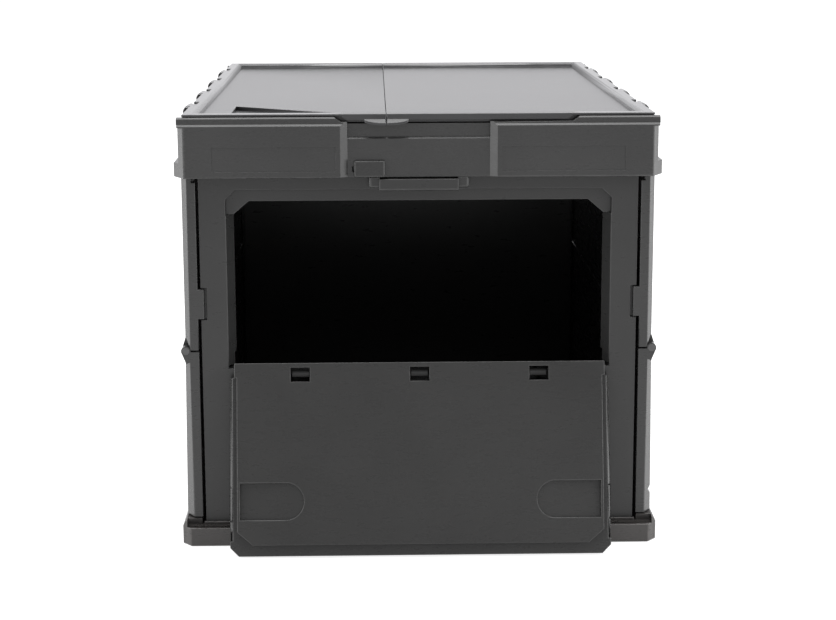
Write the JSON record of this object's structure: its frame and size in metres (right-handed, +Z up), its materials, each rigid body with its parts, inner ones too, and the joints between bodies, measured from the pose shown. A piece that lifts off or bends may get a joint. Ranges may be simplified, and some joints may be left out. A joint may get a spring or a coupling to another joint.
{
  "type": "folding storage box",
  "caption": "Collapsible moulded storage box with hinged long sides, a split flap lid and a drop-down door in its front end, shown standing with the door open.",
  "frame": {"origin": "middle of the tray's underside, on the floor", "axes": "+X right seen from the door end, +Y from the door end to the rear, +Z up"},
  "size_m": [0.3664, 0.5624, 0.3327],
  "materials": {
    "body_plastic": "moulded satin polypropylene, fine texture",
    "lid_plastic": "moulded satin polypropylene, smoother top",
    "door_plastic": "moulded satin polypropylene",
    "latch_plastic": "moulded satin polypropylene",
    "pin_plastic": "moulded plastic pin",
    "hinge_rod_steel": "drawn steel wire"
  },
  "bodies": {
    "box_body": {"base_tray": "body_plastic", "left_base_rod": "hinge_rod_steel", "right_base_rod": "hinge_rod_steel", "left_lower_wall": "body_plastic", "right_lower_wall": "body_plastic", "left_knee_pins": "pin_plastic", "right_knee_pins": "pin_plastic", "left_upper_wall": "body_plastic", "right_upper_wall": "body_plastic", "left_top_rod": "hinge_rod_steel", "right_top_rod": "hinge_rod_steel", "top_frame": "body_plastic", "front_grip": "body_plastic", "rear_grip": "body_plastic", "left_lid_pins": "pin_plastic", "right_lid_pins": "pin_plastic", "front_panel": "body_plastic", "front_panel_rod": "hinge_rod_steel", "rear_panel_rod": "hinge_rod_steel", "door_hinge_rod": "hinge_rod_steel"},
    "left_lid": {"left_lid": "lid_plastic"},
    "right_lid": {"right_lid": "lid_plastic"},
    "rear_panel": {"rear_panel": "body_plastic"},
    "door": {"door": "door_plastic"},
    "left_door_catch": {"left_door_catch": "latch_plastic"},
    "right_door_catch": {"right_door_catch": "latch_plastic"},
    "lid_lock_slider": {"lid_lock_slider": "latch_plastic"}
  },
  "joints": [
    {"name": "left_lid_hinge", "type": "hinge", "parent": "box_body", "child": "left_lid", "pos_m": [-0.1776, 0, 0.3272], "axis": [0, -1, 0], "range_deg": [0, 180]},
    {"name": "right_lid_hinge", "type": "hinge", "parent": "box_body", "child": "right_lid", "pos_m": [0.1776, 0, 0.3272], "axis": [0, 1, 0], "range_deg": [0, 180]},
    {"name": "door_hinge", "type": "hinge", "parent": "box_body", "child": "door", "pos_m": [0, -0.2547, 0.1345], "axis": [-1, 0, 0], "range_deg": [0, 165.75]},
    {"name": "rear_panel_hinge", "type": "hinge", "parent": "box_body", "child": "rear_panel", "pos_m": [0, 0.2475, 0.297], "axis": [-1, 0, 0], "range_deg": [0, 88]},
    {"name": "left_catch_slide", "type": "slide", "parent": "door", "child": "left_door_catch", "axis": [1, 0, 0], "range_m": [0, 0.0015], "stiffness_N_per_m": 300},
    {"name": "right_catch_slide", "type": "slide", "parent": "door", "child": "right_door_catch", "axis": [-1, 0, 0], "range_m": [0, 0.0015], "stiffness_N_per_m": 300},
    {"name": "lid_lock_slide", "type": "slide", "parent": "box_body", "child": "lid_lock_slider", "axis": [1, 0, 0], "range_m": [0, 0.012]}
  ]
}
